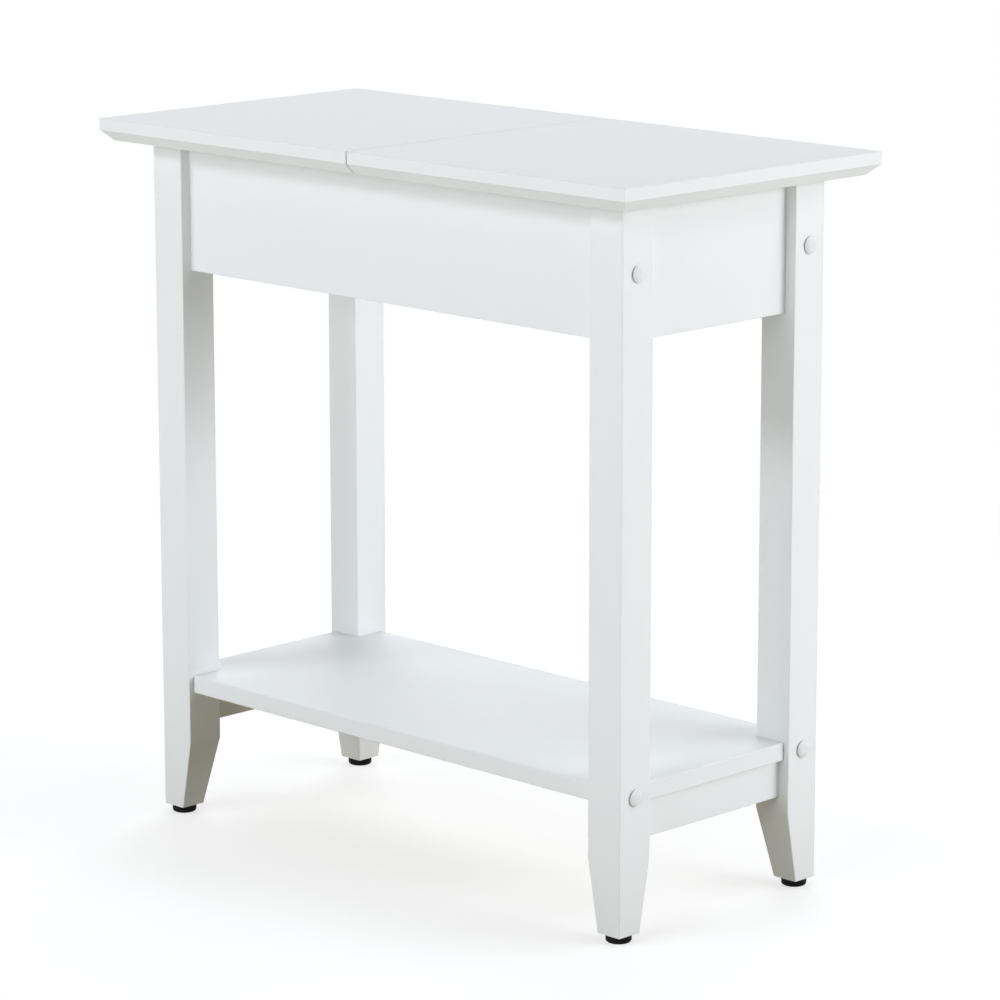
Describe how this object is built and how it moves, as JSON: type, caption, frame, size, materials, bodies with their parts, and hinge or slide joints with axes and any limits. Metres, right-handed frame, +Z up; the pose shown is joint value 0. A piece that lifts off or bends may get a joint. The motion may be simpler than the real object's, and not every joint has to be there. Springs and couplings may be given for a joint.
{
  "type": "flip top end table",
  "caption": "Narrow rectangular end table: one half of the top flips over on hidden hinges to open a storage tray between the aprons, with a lower shelf and square legs tapered at the feet.",
  "frame": {"origin": "centre of the footprint, on the floor", "axes": "+Z up, +X along the long side towards the half of the top that flips, +Y towards the long side that faces away from the pictured one"},
  "size_m": [0.61, 0.3, 0.61],
  "materials": {
    "white_paint": "satin white lacquer on board and solid wood",
    "white_plastic": "smooth white moulded plastic",
    "zinc_steel": "bright zinc plating",
    "hinge_brass": "turned and stamped brass",
    "black_plastic": "matt black moulded plastic",
    "beech": "bare beech"
  },
  "bodies": {
    "table": {"apron_bolts": "zinc_steel", "apron_dowels": "beech", "apron_nuts": "zinc_steel", "back_apron": "white_paint", "back_cleat": "white_paint", "bolt_caps": "white_plastic", "centre_rail": "white_paint", "cleat_screws": "zinc_steel", "cleat_side_screws": "zinc_steel", "compartment_bottom": "white_paint", "end_apron_dowels": "beech", "fixed_top_panel": "white_paint", "foot_glides": "black_plastic", "front_apron": "white_paint", "front_cleat": "white_paint", "glide_nails": "zinc_steel", "hinge_ear_pins": "hinge_brass", "hinge_fork_barrels": "hinge_brass", "left_apron": "white_paint", "left_stretcher": "white_paint", "leg_back_left": "white_paint", "leg_back_right": "white_paint", "leg_front_left": "white_paint", "leg_front_right": "white_paint", "rail_dowels": "beech", "rail_screws": "zinc_steel", "right_apron": "white_paint", "right_stretcher": "white_paint", "shelf": "white_paint", "shelf_bolts": "zinc_steel", "shelf_nuts": "zinc_steel", "shelf_screws": "zinc_steel", "stretcher_dowels": "beech"},
    "lid": {"flip_lid": "white_paint", "hinge_tongue_barrels": "hinge_brass", "hinge_tongue_pins": "hinge_brass"},
    "outer_links": {"hinge_outer_links": "hinge_brass", "hinge_cross_rivets": "hinge_brass"},
    "inner_links": {"hinge_inner_links": "hinge_brass"}
  },
  "joints": [
    {"name": "lid_hinge", "type": "hinge", "parent": "table", "child": "lid", "pos_m": [0, 0, 0.61025], "axis": [0, -1, 0], "range_deg": [0, 180]},
    {"name": "outer_link_pivot", "type": "hinge", "parent": "table", "child": "outer_links", "pos_m": [0.0015, 0, 0.6045], "axis": [0, -1, 0], "range_deg": [0, 180]},
    {"name": "inner_link_pivot", "type": "hinge", "parent": "lid", "child": "inner_links", "pos_m": [-0.0015, 0, 0.6045], "axis": [0, -1, 0], "range_deg": [-180, 0]}
  ],
  "couplings": [
    {"joint": "outer_link_pivot", "follows": "lid_hinge", "ratio": 1},
    {"joint": "inner_link_pivot", "follows": "lid_hinge", "ratio": -1}
  ]
}
